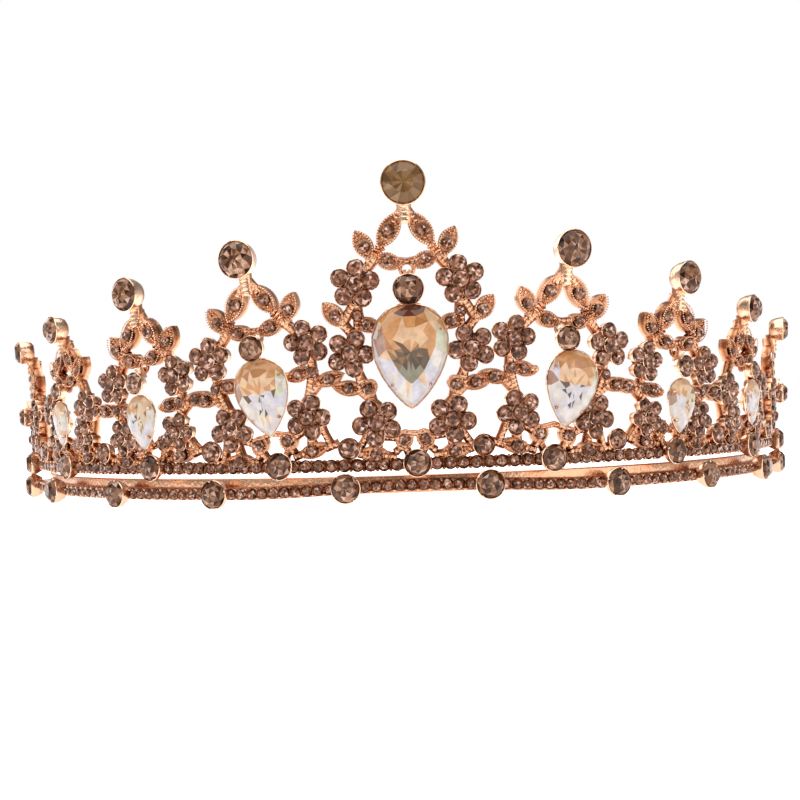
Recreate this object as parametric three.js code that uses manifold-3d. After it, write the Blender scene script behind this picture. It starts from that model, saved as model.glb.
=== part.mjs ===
// A bridal tiara: an openwork crown of nine peaks that follows the front half of the head and is open
// at the back. Millimetres, +Z up, the front faces -Y.
import * as THREE from 'three';
import { mergeVertices } from 'three/addons/utils/BufferGeometryUtils.js';
import Module from 'manifold-3d';

const wasm = await Module();
wasm.setup();

// ---- Driving dimensions -----------------------------------------------------------------------
const BAND_RADIUS = 80;          // plan radius of the wall that the castings stand on
const WALL_FLARE = 3;            // degrees that the crown leans outwards
const BAND_HALF_ANGLE = 81;      // where the band stops, either side of the front
const SLIVER = 0.01;             // edges shorter than this are merged away
const GAP = 0.3;                 // clearance between neighbouring pieces
const FACET = 6;                 // degrees per facet of the band

const STRIP = { low: 1.9, high: 4.9, thick: 0.9 };
const LOWER_ROW = { low: 1.2, high: 3.4, thick: 1.4, lift: 1.05, liftAngle: 24 };
const UPPER_ROW = { low: 6.1, high: 7.9, thick: 1.4 };
const LOWER_STONE = { z: 2.35, radius: 2.45, angles: [8.6, 25.5, 41.7, 58.5, 74.6] };
const UPPER_STONE = { z: 7.2, radius: 2.3 };
const SEAT = { depth: 1.3, sunk: 0.4, rim: 0.15 };
const CASTING = { foot: UPPER_ROW.high + GAP, thick: 1.8, split: 0.2 };
const TIP_CUP_DEPTH = 2.4;
const DROP_BACKING = 2.7;         // how far the backings of the pendants and pears stand out

// The peaks of one side, from the centre outwards. Heights are above the floor, u is the distance
// from the peak's own axis, and crown scales the leaves below the tip.
const PEAKS = [
  { name: 'centre', angle: 0, lean: 0, tip: 55, tipRadius: 3.65, crown: 1, pendant: { z: 37, radius: 2.55 },
    pear: { width: 12.8, height: 17.6, top: 34.5 }, flower: { u: 8.9, z: 38.4, radius: 4.2 },
    foot: { u: 6.3, z: 14.5, radius: 4.2 }, collar: { earU: 12.9, earZ: 33.6, flowerU: 10.1, flowerZ: 26.6, leafZ: 19.5 } },
  { name: '1', angle: 16.7, lean: 6, tip: 43.8, tipRadius: 3.1, crown: 0.96, pendant: { z: 28.3, radius: 2.1 },
    pear: { width: 9.8, height: 13.4, top: 26.3 }, flower: { u: 9.2, z: 27.6, radius: 4 },
    foot: { u: 7.1, z: 14.9, radius: 4 } },
  { name: '2', angle: 35.1, lean: 3, tip: 39.1, tipRadius: 2.9, crown: 0.83, pendant: { z: 22.9, radius: 1.9 },
    pear: { width: 7, height: 9.8, top: 20.6 }, flower: { u: 7.9, z: 23.3, radius: 3.7 },
    foot: { u: 6.7, z: 13.3, radius: 3.5 } },
  { name: '3', angle: 53.5, lean: 0, tip: 34.05, tipRadius: 2.6, crown: 0.78, pendant: { z: 22.1, radius: 1.6 },
    pear: { width: 6, height: 8.6, top: 20.05 }, flower: { u: 7.6, z: 18.5, radius: 3.4 },
    foot: { u: 6.2, z: 12.6, radius: 3.2 } },
  { name: '4', angle: 73.3, lean: 0, tip: 31, tipRadius: 2.5, crown: 0.72, pendant: { z: 17.2, radius: 2.0 },
    flower: { u: 6.4, z: 17.3, radius: 3.4 }, foot: { u: 5.6, z: 12.3, radius: 3 } },
];

const ROSE_GOLD = { color: 0xdfa57c, roughness: 0.26, metalness: 1 };
const TOPAZ = { color: 0x7a5a46, roughness: 0.06, metalness: 0 };
const CHAMPAGNE = { color: 0xe2bd93, roughness: 0.04, metalness: 0 };

// ---- Solids -----------------------------------------------------------------------------------
function toSolid(geometry) {
  const bare = geometry.clone();
  bare.deleteAttribute('normal');
  bare.deleteAttribute('uv');
  const merged = mergeVertices(bare, 1e-4);
  const vertProperties = new Float32Array(merged.attributes.position.array);
  const triVerts = new Uint32Array(merged.index.array);
  return new wasm.Manifold(new wasm.Mesh({ numProp: 3, vertProperties, triVerts }));
}

function toGeometry(solid) {
  const mesh = solid.getMesh();
  const geometry = new THREE.BufferGeometry();
  geometry.setAttribute('position', new THREE.BufferAttribute(mesh.vertProperties, 3));
  geometry.setIndex(new THREE.BufferAttribute(mesh.triVerts, 1));
  return geometry;
}

const join = (geometries) => geometries.map(toSolid).reduce((whole, piece) => whole.add(piece));

// ---- Places on the wall -----------------------------------------------------------------------
// A place has X along the wall, Y up it and Z straight out of it.
function wallPlace(angleDegrees, z, out = 0, flareDegrees = WALL_FLARE) {
  const angle = THREE.MathUtils.degToRad(angleDegrees);
  const flare = THREE.MathUtils.degToRad(flareDegrees);
  const along = new THREE.Vector3(Math.cos(angle), Math.sin(angle), 0);
  const outwards = new THREE.Vector3(Math.sin(angle), -Math.cos(angle), 0);
  const up = outwards.clone().multiplyScalar(Math.sin(flare)).setZ(Math.cos(flare));
  const normal = along.clone().cross(up);
  const point = outwards.clone().multiplyScalar(BAND_RADIUS + z * Math.tan(flare)).setZ(z);
  point.addScaledVector(normal, out);
  return new THREE.Matrix4().makeBasis(along, up, normal).setPosition(point);
}

const bandPlace = (angle, z, out) => wallPlace(angle, z, out, 0);

// Where a peak's own point (u along the wall, z above the floor) lies once the peak leans.
function leaned(peak, u, z) {
  const lean = THREE.MathUtils.degToRad(peak.lean * peak.side);
  return { x: u * Math.cos(lean) + z * Math.sin(lean), y: z * Math.cos(lean) - u * Math.sin(lean), lean };
}

// The angle round the band of a point that lies x along the wall from the peak's axis, at height y.
function wallAngle(peak, x, y) {
  const radius = BAND_RADIUS + y * Math.tan(THREE.MathUtils.degToRad(WALL_FLARE));
  return peak.angle * peak.side + THREE.MathUtils.radToDeg(x / radius);
}

function peakPlace(peak, u, z, turn = 0, out = 0) {
  const { x, y, lean } = leaned(peak, u, z);
  const spin = new THREE.Matrix4().makeRotationZ(THREE.MathUtils.degToRad(turn) - lean);
  return wallPlace(wallAngle(peak, x, y), y, out).multiply(spin);
}

// A casting is joined flat, as a sheet, and then bent round the wall point by point.
function sheetPlace(peak, u, z, turn = 0) {
  const { x, y, lean } = leaned(peak, u, z);
  return new THREE.Matrix4().makeRotationZ(THREE.MathUtils.degToRad(turn) - lean).setPosition(x, y, 0);
}

function bend(geometry, peak) {
  const { position } = geometry.attributes;
  const point = new THREE.Vector3();
  for (let i = 0; i < position.count; i += 1) {
    const [x, y] = [position.getX(i), position.getY(i)];
    point.set(0, 0, position.getZ(i)).applyMatrix4(wallPlace(wallAngle(peak, x, y), y));
    position.setXYZ(i, point.x, point.y, point.z);
  }
  return geometry;
}

// ---- Outlines and the plates cut to them ------------------------------------------------------
function polygon(radius, sides, stretch = 1) {
  const points = [];
  for (let i = 0; i < sides; i += 1) {
    const a = ((i + 0.5) / sides) * 2 * Math.PI - Math.PI / 2;
    points.push(new THREE.Vector2(radius * Math.cos(a), radius * stretch * Math.sin(a)));
  }
  return new THREE.Shape(points);
}

// Five petals: a notch and a tip for each.
function flowerOutline(radius) {
  const points = [];
  for (let petal = 0; petal < 5; petal += 1) {
    for (const [offset, reach] of [[-36, 0.72], [0, 1.04]]) {
      const a = THREE.MathUtils.degToRad(90 + 72 * petal + offset);
      points.push(new THREE.Vector2(radius * reach * Math.cos(a), radius * reach * Math.sin(a)));
    }
  }
  return new THREE.Shape(points);
}

function leafOutline(length, width) {
  const shape = new THREE.Shape();
  shape.moveTo(-length / 2, 0);
  shape.quadraticCurveTo(0, -width, length / 2, 0);
  shape.quadraticCurveTo(0, width, -length / 2, 0);
  return shape;
}

// A drop that hangs round end up: half a circle, then two sides drawn to the point below.
function pearOutline(width, height) {
  const r = width / 2;
  const shape = new THREE.Shape();
  const shoulder = height / 2 - r;
  shape.moveTo(0, -height / 2);
  shape.quadraticCurveTo(r, -height * 0.2, r, shoulder);
  shape.absarc(0, shoulder, r, 0, Math.PI, false);
  shape.quadraticCurveTo(-r, -height * 0.2, 0, -height / 2);
  return shape;
}

function plate(place, outline, depth = CASTING.thick) {
  const settings = { depth, bevelEnabled: false, curveSegments: 3 };
  return new THREE.ExtrudeGeometry(outline, settings).applyMatrix4(place);
}

// A solid of revolution that stands out of the wall, from a profile of [radius, height] pairs.
function turned(place, profile, sides) {
  const points = profile.map(([radius, height]) => new THREE.Vector2(radius, height));
  const geometry = new THREE.LatheGeometry(points, sides, Math.PI / sides);
  geometry.rotateX(Math.PI / 2);
  return geometry.applyMatrix4(place);
}

const cup = (place, radius, depth, sides) => turned(place, [
  [0, 0], [radius * 0.62, 0], [radius, depth * 0.65], [radius, depth], [0, depth],
], sides);

const seat = (place, radius, depth, sides = 8) => turned(place, [
  [0, 0], [radius, 0], [radius, depth], [0, depth],
], sides);

// A round brilliant: a short base under the girdle and a sloping crown up to its flat table.
const roundStone = (place, radius, sides = 8) => turned(place, [
  [0, 0], [radius * 0.8, 0], [radius, radius * 0.35], [radius * 0.56, radius * 0.85], [0, radius * 0.85],
], sides);

function pearStone(place, width, height) {
  const bevel = width * 0.2;
  const outline = pearOutline(width - 2 * bevel, height - 2 * bevel);
  const settings = { depth: 0.5, bevelThickness: bevel * 0.7, bevelSize: bevel, bevelSegments: 1, curveSegments: 4 };
  const geometry = new THREE.ExtrudeGeometry(outline, settings);
  geometry.translate(0, 0, settings.bevelThickness);
  return geometry.applyMatrix4(place);
}

// A bar from one point of a peak to another.
function stem(peak, from, to, width) {
  const rise = to[1] - from[1];
  const run = to[0] - from[0];
  const [reach, half] = [(Math.hypot(rise, run) + width * 0.5) / 2, width / 3];
  const outline = new THREE.Shape([
    new THREE.Vector2(-reach, -half), new THREE.Vector2(reach, -half),
    new THREE.Vector2(reach, half), new THREE.Vector2(-reach, half),
  ]);
  const turn = THREE.MathUtils.radToDeg(Math.atan2(rise, run));
  return plate(sheetPlace(peak, (from[0] + to[0]) / 2, (from[1] + to[1]) / 2, turn), outline);
}

// ---- The rows and the strip of the band -------------------------------------------------------
// A band of flat facets between two radii and two heights, with a facet square to the front.
function band(inner, thick, low, high) {
  const facets = 2 * Math.floor(BAND_HALF_ANGLE / FACET) + 1;
  const start = (-facets * FACET) / 2;
  const points = [];
  for (let i = 0; i <= facets; i += 1) points.push([inner, start + i * FACET]);
  for (let i = facets; i >= 0; i -= 1) points.push([inner + thick, start + i * FACET]);
  const outline = points.map(([radius, degrees]) => {
    const a = THREE.MathUtils.degToRad(degrees - 90);
    return new THREE.Vector2(radius * Math.cos(a), radius * Math.sin(a));
  });
  const settings = { depth: high - low, bevelEnabled: false };
  return new THREE.ExtrudeGeometry(new THREE.Shape(outline), settings).translate(0, 0, low);
}

// The lower row arches up at the front, where it is bent clear of the forehead.
function lowerRowLift(degrees) {
  if (Math.abs(degrees) > LOWER_ROW.liftAngle) return 0;
  return LOWER_ROW.lift * Math.cos((degrees / LOWER_ROW.liftAngle) * (Math.PI / 2)) ** 2;
}

function liftRow(geometry) {
  const position = geometry.attributes.position;
  for (let i = 0; i < position.count; i += 1) {
    const degrees = THREE.MathUtils.radToDeg(Math.atan2(position.getX(i), -position.getY(i)));
    position.setZ(i, position.getZ(i) + lowerRowLift(degrees));
  }
  return geometry;
}

const seatBack = LOWER_ROW.thick - SEAT.sunk;
const stoneBack = seatBack + SEAT.depth + GAP;
const bothSides = (angles) => angles.flatMap((angle) => [-angle, angle]);
const lowerStoneAngles = bothSides(LOWER_STONE.angles).sort((a, b) => a - b);
const lowerStoneHeight = (angle) => LOWER_STONE.z + lowerRowLift(angle);
const peaks = PEAKS.flatMap((peak) => (peak.angle === 0 ? [{ ...peak, side: 0, label: 'centre' }]
  : [{ ...peak, side: -1, label: `left_${peak.name}` }, { ...peak, side: 1, label: `right_${peak.name}` }]));

function headbandStrip() {
  return band(BAND_RADIUS - GAP - STRIP.thick, STRIP.thick, STRIP.low, STRIP.high);
}

function lowerStoneChannel() {
  const row = liftRow(band(BAND_RADIUS, LOWER_ROW.thick, LOWER_ROW.low, LOWER_ROW.high));
  const seats = lowerStoneAngles.map((angle) => seat(
    bandPlace(angle, lowerStoneHeight(angle), seatBack), LOWER_STONE.radius + SEAT.rim, SEAT.depth,
  ));
  return toGeometry(join([row, ...seats]));
}

function upperStoneChannel() {
  const row = band(BAND_RADIUS, UPPER_ROW.thick, UPPER_ROW.low, UPPER_ROW.high);
  const seats = peaks.map((peak) => seat(
    bandPlace(peak.angle * peak.side, UPPER_STONE.z, seatBack), UPPER_STONE.radius + SEAT.rim, SEAT.depth,
  ));
  return toGeometry(join([row, ...seats]));
}

// ---- The casting of one peak ------------------------------------------------------------------
// Tip cup, neck, twin leaves, ears, knots and inner leaves that close the arch over the bail.
function crownPieces(peak) {
  const { tip, tipRadius, crown, flower } = peak;
  const place = (u, z, turn) => sheetPlace(peak, u, z, turn);
  const apex = tip - tipRadius - 1.2 * crown;
  const knot = [5.1 * crown, tip - 12.2 * crown];
  const arch = [0, tip - 14.2 * crown];
  const pieces = [
    cup(place(0, tip), tipRadius + 0.4, TIP_CUP_DEPTH, 10),
    stem(peak, [0, tip - tipRadius * 0.6], [0, apex - 0.8], 2.8 * crown),
  ];
  for (const side of [-1, 1]) {
    const flip = (degrees) => (side > 0 ? degrees : 180 - degrees);
    pieces.push(plate(place(side * 2.7 * crown, tip - 7.6 * crown, flip(-57)), leafOutline(8.2 * crown, 3.3 * crown)));
    pieces.push(plate(place(side * 6.9 * crown, tip - 10.2 * crown, flip(63)), leafOutline(6 * crown, 2.9 * crown)));
    pieces.push(stem(peak, [side * 3.9 * crown, tip - 10.3 * crown], [side * knot[0], knot[1]], 2.4 * crown));
    pieces.push(stem(peak, [side * knot[0] * 1.1, knot[1]], [side * 0.4, arch[1]], 3.2 * crown));
    pieces.push(stem(peak, [side * knot[0], knot[1]], [side * flower.u, flower.z], 2.6 * crown));
    pieces.push(plate(place(side * flower.u, flower.z, side * -10), flowerOutline(flower.radius)));
  }
  return pieces;
}

// The stone between the crown and the pear hangs from the arch on its own round seat.
function pendantPieces(peak) {
  const { tip, crown, pendant } = peak;
  return [
    stem(peak, [0, tip - 14 * crown], [0, pendant.z], 2.4 * crown),
    plate(sheetPlace(peak, 0, pendant.z), polygon(pendant.radius + 0.3, 8), DROP_BACKING),
  ];
}

// The pear's backing plate, a leaf on each side, the foot flowers, and the ovals below its point.
function bodyPieces(peak) {
  const { pear, flower, foot, pendant } = peak;
  const pieces = [];
  const top = pear ? pear.top : pendant.z + pendant.radius;
  const bottom = pear ? pear.top - pear.height : pendant.z - pendant.radius;
  const halfWidth = pear ? pear.width / 2 : pendant.radius;
  if (pear) {
    const middle = sheetPlace(peak, 0, pear.top - pear.height / 2);
    pieces.push(plate(middle, pearOutline(pear.width + 1.4, pear.height + 1.8), DROP_BACKING));
    pieces.push(stem(peak, [0, pendant.z], [0, pear.top - 1], 2.2));
  }
  for (const side of [-1, 1]) {
    pieces.push(stem(peak, [side * flower.u, flower.z], [side * halfWidth * 0.8, top - halfWidth * 0.8], 2.8));
    pieces.push(stem(peak, [side * flower.u * 0.9, flower.z - 2], [side * foot.u, foot.z + 2], 2.6));
    pieces.push(plate(sheetPlace(peak, side * foot.u, foot.z, side * 45), flowerOutline(foot.radius)));
    pieces.push(plate(sheetPlace(peak, side * 2.2, CASTING.foot + 2), polygon(1.5, 6, 1.4)));
    pieces.push(stem(peak, [0, bottom + 0.5], [side * foot.u * 0.9, foot.z - 0.5], 2.6));
    pieces.push(stem(peak, [side * 2.2, CASTING.foot + 2.4], [side * foot.u * 0.8, foot.z - 1], 2.2));
    pieces.push(stem(peak, [side * 4.6, CASTING.foot + 0.8], [side * 9.6, CASTING.foot + 2], 2.6));
    pieces.push(stem(peak, [side * foot.u, foot.z + 1], [side * (foot.u + 5.8), foot.z + 4], 2.6));
  }
  pieces.push(plate(sheetPlace(peak, 0, CASTING.foot + 0.8), new THREE.Shape([
    new THREE.Vector2(-8, -0.8), new THREE.Vector2(8, -0.8), new THREE.Vector2(8, 0.4), new THREE.Vector2(-8, 0.4),
  ])));
  return pieces;
}

// Only the centre peak is wide enough for a second pair of ears and of flowers beside its pear.
function collarPieces(peak) {
  if (!peak.collar) return [];
  const { earU, earZ, flowerU, flowerZ, leafZ } = peak.collar;
  const { flower } = peak;
  const pieces = [];
  for (const side of [-1, 1]) {
    const earTurn = side > 0 ? 50 : 130;
    pieces.push(plate(sheetPlace(peak, side * earU, earZ, earTurn), leafOutline(5.4, 2.6)));
    pieces.push(stem(peak, [side * flower.u, flower.z - 2], [side * (earU - 1.3), earZ - 2], 2.6));
    pieces.push(plate(sheetPlace(peak, side * flowerU, flowerZ, side * 20), flowerOutline(4)));
    pieces.push(stem(peak, [side * flowerU, flowerZ], [side * (earU - 1.7), earZ - 1.6], 2.8));
    pieces.push(stem(peak, [side * 7, leafZ + 0.4], [side * 13.6, leafZ], 3));
  }
  return pieces;
}

// A casting keeps to its own side of the mid-lines between the peaks, and stands on the upper row.
function keepBetween(low, high) {
  const size = [high - low, 80, 20];
  const centre = [(low + high) / 2, CASTING.foot + size[1] / 2, 0];
  return new THREE.BoxGeometry(...size).translate(...centre);
}

const edges = [...PEAKS.slice(1).map((peak, i) => (peak.angle + PEAKS[i].angle) / 2 + 0.8), BAND_HALF_ANGLE + 5];

function casting(peak) {
  const index = PEAKS.findIndex((spec) => spec.name === peak.name);
  const sheet = join([
    ...crownPieces(peak), ...pendantPieces(peak), ...bodyPieces(peak), ...collarPieces(peak),
  ]);
  const reach = (degrees) => THREE.MathUtils.degToRad(degrees) * BAND_RADIUS - CASTING.split;
  const outer = reach(edges[index] - peak.angle);
  const inner = index === 0 ? -outer : -reach(peak.angle - edges[index - 1]);
  const limits = peak.side < 0 ? [-outer, -inner] : [inner, outer];
  const seatNotch = new THREE.Matrix4().makeTranslation(0, UPPER_STONE.z, 0);
  const notch = plate(seatNotch, polygon(UPPER_STONE.radius + SEAT.rim + GAP, 8));
  const trimmed = sheet.intersect(toSolid(keepBetween(...limits))).subtract(toSolid(notch));
  return bend(toGeometry(trimmed.simplify(SLIVER)), peak);
}

// ---- Hairpin loops at the two ends of the band ------------------------------------------------
const LOOP = { radius: 1.9, wire: 0.55 };

function endLoop(side) {
  const facetEnd = (Math.floor(BAND_HALF_ANGLE / FACET) + 0.5) * FACET;
  const reach = THREE.MathUtils.radToDeg((LOOP.radius + LOOP.wire + GAP) / BAND_RADIUS);
  const height = (STRIP.low + STRIP.high) / 2;
  const place = bandPlace(side * (facetEnd + reach), height, -GAP - STRIP.thick / 2 - LOOP.wire);
  const ring = [];
  for (let i = 0; i <= 6; i += 1) {
    const a = (i / 6) * 2 * Math.PI;
    ring.push([LOOP.radius + LOOP.wire * Math.cos(a), LOOP.wire * (1 + Math.sin(a))]);
  }
  return turned(place, ring, 14);
}

// ---- Assembly ---------------------------------------------------------------------------------
const tiara = new THREE.Group();

function addPiece(name, geometry, look) {
  const material = new THREE.MeshStandardMaterial(look);
  material.name = name;
  const mesh = new THREE.Mesh(geometry, material);
  mesh.name = name;
  tiara.add(mesh);
}

addPiece('headband_strip', headbandStrip(), ROSE_GOLD);
addPiece('lower_stone_channel', lowerStoneChannel(), ROSE_GOLD);
addPiece('upper_stone_channel', upperStoneChannel(), ROSE_GOLD);

for (const peak of peaks) {
  addPiece(`${peak.label}_peak_casting`, casting(peak), ROSE_GOLD);
  const tipPlace = peakPlace(peak, 0, peak.tip, 0, TIP_CUP_DEPTH + GAP);
  addPiece(`${peak.label}_tip_stone`, roundStone(tipPlace, peak.tipRadius, 10), TOPAZ);
  const pendantPlace = peakPlace(peak, 0, peak.pendant.z, 0, DROP_BACKING + GAP);
  addPiece(`${peak.label}_pendant_stone`, roundStone(pendantPlace, peak.pendant.radius), TOPAZ);
  if (peak.pear) {
    const { width, height, top } = peak.pear;
    const pearPlace = peakPlace(peak, 0, top - height / 2, 0, DROP_BACKING + GAP);
    addPiece(`${peak.label}_pear_stone`, pearStone(pearPlace, width, height), CHAMPAGNE);
  }
  const upperPlace = bandPlace(peak.angle * peak.side, UPPER_STONE.z, stoneBack);
  addPiece(`${peak.label}_upper_row_stone`, roundStone(upperPlace, UPPER_STONE.radius), TOPAZ);
}

lowerStoneAngles.forEach((angle, i) => {
  const place = bandPlace(angle, lowerStoneHeight(angle), stoneBack);
  addPiece(`lower_row_stone_${i + 1}`, roundStone(place, LOWER_STONE.radius), TOPAZ);
});

addPiece('left_end_loop', endLoop(-1), ROSE_GOLD);
addPiece('right_end_loop', endLoop(1), ROSE_GOLD);

// The origin is under the middle of the object's box, on the floor it stands on.
const box = new THREE.Box3().setFromObject(tiara);
const middle = box.getCenter(new THREE.Vector3());
tiara.position.set(-middle.x, -middle.y, -box.min.z);

export default tiara;
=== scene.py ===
import math

import bmesh
import bpy
from mathutils import Matrix, Vector


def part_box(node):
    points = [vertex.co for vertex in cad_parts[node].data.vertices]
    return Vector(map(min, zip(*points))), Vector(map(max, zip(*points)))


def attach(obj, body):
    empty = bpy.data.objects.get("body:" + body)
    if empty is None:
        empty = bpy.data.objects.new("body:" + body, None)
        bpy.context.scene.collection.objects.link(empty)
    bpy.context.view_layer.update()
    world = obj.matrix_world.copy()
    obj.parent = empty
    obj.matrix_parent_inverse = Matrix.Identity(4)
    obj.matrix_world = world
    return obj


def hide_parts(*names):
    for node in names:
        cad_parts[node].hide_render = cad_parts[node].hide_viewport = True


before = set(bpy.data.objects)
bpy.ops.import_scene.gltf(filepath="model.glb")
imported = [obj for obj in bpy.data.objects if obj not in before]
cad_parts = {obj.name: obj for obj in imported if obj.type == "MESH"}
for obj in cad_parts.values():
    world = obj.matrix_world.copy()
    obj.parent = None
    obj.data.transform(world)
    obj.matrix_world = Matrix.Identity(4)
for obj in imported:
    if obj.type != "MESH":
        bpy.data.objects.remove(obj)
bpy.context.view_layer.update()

# ---- Headband strip --------------------------------------------------------------------------
# The plain flat band that everything else is soldered to. It is rolled rose-gold plated strip, bent
# round a mandrel to half a circle, with its two long edges rounded over.
MM = 0.001
# The CAD strip turns in flats of this angle, so the middle of its front lies inside the full circle.
FACET = math.radians(6)
# Heights are in millimetres on a scale of the wall's own, on which the floor is at floor_drop.
STRIP_LOW, STRIP_HIGH, STRIP_THICK, STRIP_EDGE = 1.9, 5.0, 0.9, 0.28
SOLDER_GAP = 0.3
BAND_STEPS = 108
strip_low, strip_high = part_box("headband_strip")
band_end = math.radians(81)
wall_radius = strip_high[0] / MM / math.sin(band_end) + SOLDER_GAP
plan_y = strip_low[1] / MM + (wall_radius - SOLDER_GAP) * math.cos(FACET / 2)
floor_drop = STRIP_LOW - strip_low[2] / MM


class Wire:
    """One output of a material's nodes, on which arithmetic can be written."""

    def __init__(self, tree, socket=None):
        self.tree = tree
        self.socket = socket

    def make(self, kind, settings=(), output=0, **inputs):
        node = self.tree.nodes.new(kind)
        for name, value in dict(settings).items():
            if name != "stops":
                setattr(node, name, value)
                continue
            ramp = node.color_ramp
            while len(ramp.elements) < len(value):
                ramp.elements.new(0.5)
            for stop, (at, colour) in zip(ramp.elements, value):
                stop.position = at
                stop.color = (*colour, 1)
        for name, value in inputs.items():
            socket = node.inputs[int(name[1:]) if name[1:].isdigit() else name.replace("_", " ")]
            if isinstance(value, Wire):
                self.tree.links.new(value.socket, socket)
            else:
                socket.default_value = value
        return Wire(self.tree, node.outputs[output])

    def math(self, operation, a, b):
        return self.make("ShaderNodeMath", {"operation": operation}, i0=a, i1=b)

    def __add__(self, other):
        return self.math("ADD", self, other)

    def __sub__(self, other):
        return self.math("SUBTRACT", self, other)

    def __rsub__(self, other):
        return self.math("SUBTRACT", other, self)

    def __mul__(self, other):
        return self.math("MULTIPLY", self, other)

    __radd__ = __add__
    __rmul__ = __mul__

    def into(self, shader, name):
        self.tree.links.new(self.socket, shader.inputs[name])


def new_material(name, **constants):
    material = bpy.data.materials.new(name)
    material.use_nodes = True
    shader = material.node_tree.nodes["Principled BSDF"]
    for socket, value in constants.items():
        shader.inputs[socket.replace("_", " ")].default_value = value
    return material, Wire(material.node_tree), shader


# Rose-gold plating with painted light: a paler painted highlight on the parts that stand proud, and painted
# shade, redder and darker, low down between the stones; with patches of thicker deposit, faint hairlines
# and a slightly uneven surface.
FLARE = 3
RELIEF = 2.5
rose_gold, wire, shader = new_material("rose_gold", Metallic=1.0)
place = wire.make("ShaderNodeTexCoord", output=3)
patches = wire.make("ShaderNodeTexNoise", Vector=place, Scale=520.0, Detail=3.0)
grain = wire.make("ShaderNodeTexNoise", Vector=place, Scale=2600.0, Detail=2.0)
pits = wire.make("ShaderNodeTexVoronoi", Vector=place, Scale=1500.0)
from_axis = wire.make("ShaderNodeVectorMath", {"operation": "SUBTRACT"}, i0=place, i1=(0, plan_y * MM, 0))
level = wire.make("ShaderNodeVectorMath", {"operation": "MULTIPLY"}, i0=from_axis, i1=(1, 1, 0))
radius = wire.make("ShaderNodeVectorMath", {"operation": "LENGTH"}, output=1, i0=level)
height = wire.make("ShaderNodeSeparateXYZ", output=2, Vector=place)
proud = radius - wall_radius * MM - height * math.tan(math.radians(FLARE))
relief = proud * (1 / (RELIEF * MM)) + (patches - 0.5) * 0.5
# Painted shade and highlight by relief: darkest low between the stones, palest where the metal stands
# proudest.
tint = wire.make("ShaderNodeValToRGB", {"stops": [
    (0.0, (0.74, 0.41, 0.25)), (0.08, (0.58, 0.26, 0.13)), (0.26, (0.30, 0.105, 0.047)),
    (0.50, (0.50, 0.225, 0.115)), (0.70, (0.74, 0.42, 0.255)), (0.92, (0.87, 0.59, 0.41)),
]}, Fac=relief)
tint.into(shader, "Base Color")
(0.14 + patches * 0.14 + grain * 0.08).into(shader, "Roughness")
uneven = grain * 0.5 + pits
wire.make("ShaderNodeBump", Strength=0.35, Distance=0.0001, Height=uneven).into(shader, "Normal")


def wall_place(angle, z, out=0.0, flare=0.0, turn=0.0):
    """Millimetres on the wall to metres in the room: X along it, Y up it and Z straight out."""
    a = math.radians(angle)
    f = math.radians(flare)
    along = Vector((math.cos(a), math.sin(a), 0))
    outwards = Vector((math.sin(a), -math.cos(a), 0))
    up = outwards * math.sin(f) + Vector((0, 0, math.cos(f)))
    normal = along.cross(up)
    point = outwards * (wall_radius + z * math.tan(f)) + Vector((0, plan_y, z - floor_drop)) + normal * out
    basis = Matrix((along, up, normal)).transposed().to_4x4()
    upright = Matrix.Scale(MM, 4) @ Matrix.Translation(point) @ basis
    return upright @ Matrix.Rotation(math.radians(turn), 4, "Z")


def finish_piece(name, bm, material, slot, *nodes, smooth=40):
    """Makes a bmesh a piece that rides on the tiara, in place of the CAD nodes it details."""
    mesh = bpy.data.meshes.new(name)
    bmesh.ops.recalc_face_normals(bm, faces=bm.faces)
    for face in bm.faces:
        face.smooth = smooth > 0
    bm.to_mesh(mesh)
    bm.free()
    if smooth:
        mesh.set_sharp_from_angle(angle=math.radians(smooth))
    mesh.materials.append(material)
    piece = bpy.data.objects.new(name, mesh)
    bpy.context.scene.collection.objects.link(piece)
    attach(piece, "root")
    if nodes:
        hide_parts(*nodes)


def band(inner, thick, low, high, half_angle, edge):
    """A rectangular bar with rounded edges, swept round the wall's centre."""
    bm = bmesh.new()
    corners = [(inner, low), (inner + thick, low), (inner + thick, high), (inner, high)]
    turn = Matrix.Rotation(-half_angle, 3, "Z")
    verts = [bm.verts.new(turn @ Vector((0, -radius, z))) for radius, z in corners]
    profile = bm.faces.new(verts)
    bmesh.ops.bevel(bm, geom=verts, offset=edge, affect="VERTICES", segments=3, profile=0.5, material=-1)
    faces = [face for face in bm.faces if face.is_valid]
    bmesh.ops.spin(bm, geom=faces, axis=(0, 0, 1), cent=(0, 0, 0), angle=2 * half_angle, steps=BAND_STEPS)
    bmesh.ops.holes_fill(bm, edges=bm.edges)
    to_room = Matrix.Scale(MM, 4) @ Matrix.Translation((0, plan_y, -floor_drop))
    bmesh.ops.transform(bm, matrix=to_room, verts=bm.verts)
    return bm


strip_inner = wall_radius - SOLDER_GAP - STRIP_THICK
strip = band(strip_inner, STRIP_THICK, STRIP_LOW, STRIP_HIGH, band_end, STRIP_EDGE)
finish_piece("headband", strip, rose_gold, "rose_gold", "headband_strip")

# ---- Lower stone row -------------------------------------------------------------------------
# A cast channel soldered to the front of the strip. Small round stones sit side by side in it, each
# held by four claws, and it arches up a little over the forehead.
LOWER_LIFT, LIFT_ANGLE = 1.05, 24
ROW_HALF_ANGLE = 80.5
ROW_THICK, ROW_EDGE = 1.0, 0.25
SMALL_SEAT, SMALL_GIRDLE = 0.55, 0.8
ROW_CLAW_WIDTH, ROW_CLAW_HEIGHT = 0.33, 0.42
LARGE_SEAT_HALF_ANGLE = 1.1
FULL_TURN = {"axis": (0, 0, 1), "cent": (0, 0, 0), "angle": 2 * math.pi, "use_merge": True}


def lift(angle):
    if abs(angle) > LIFT_ANGLE:
        return 0
    return LOWER_LIFT * math.cos(angle / LIFT_ANGLE * math.pi / 2) ** 2


def glint(a, b):
    """A number from 0 to 1 that looks random and is the same every run."""
    return (math.sin(a * 12.9898 + b * 78.233) * 43758.5453) % 1


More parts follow.
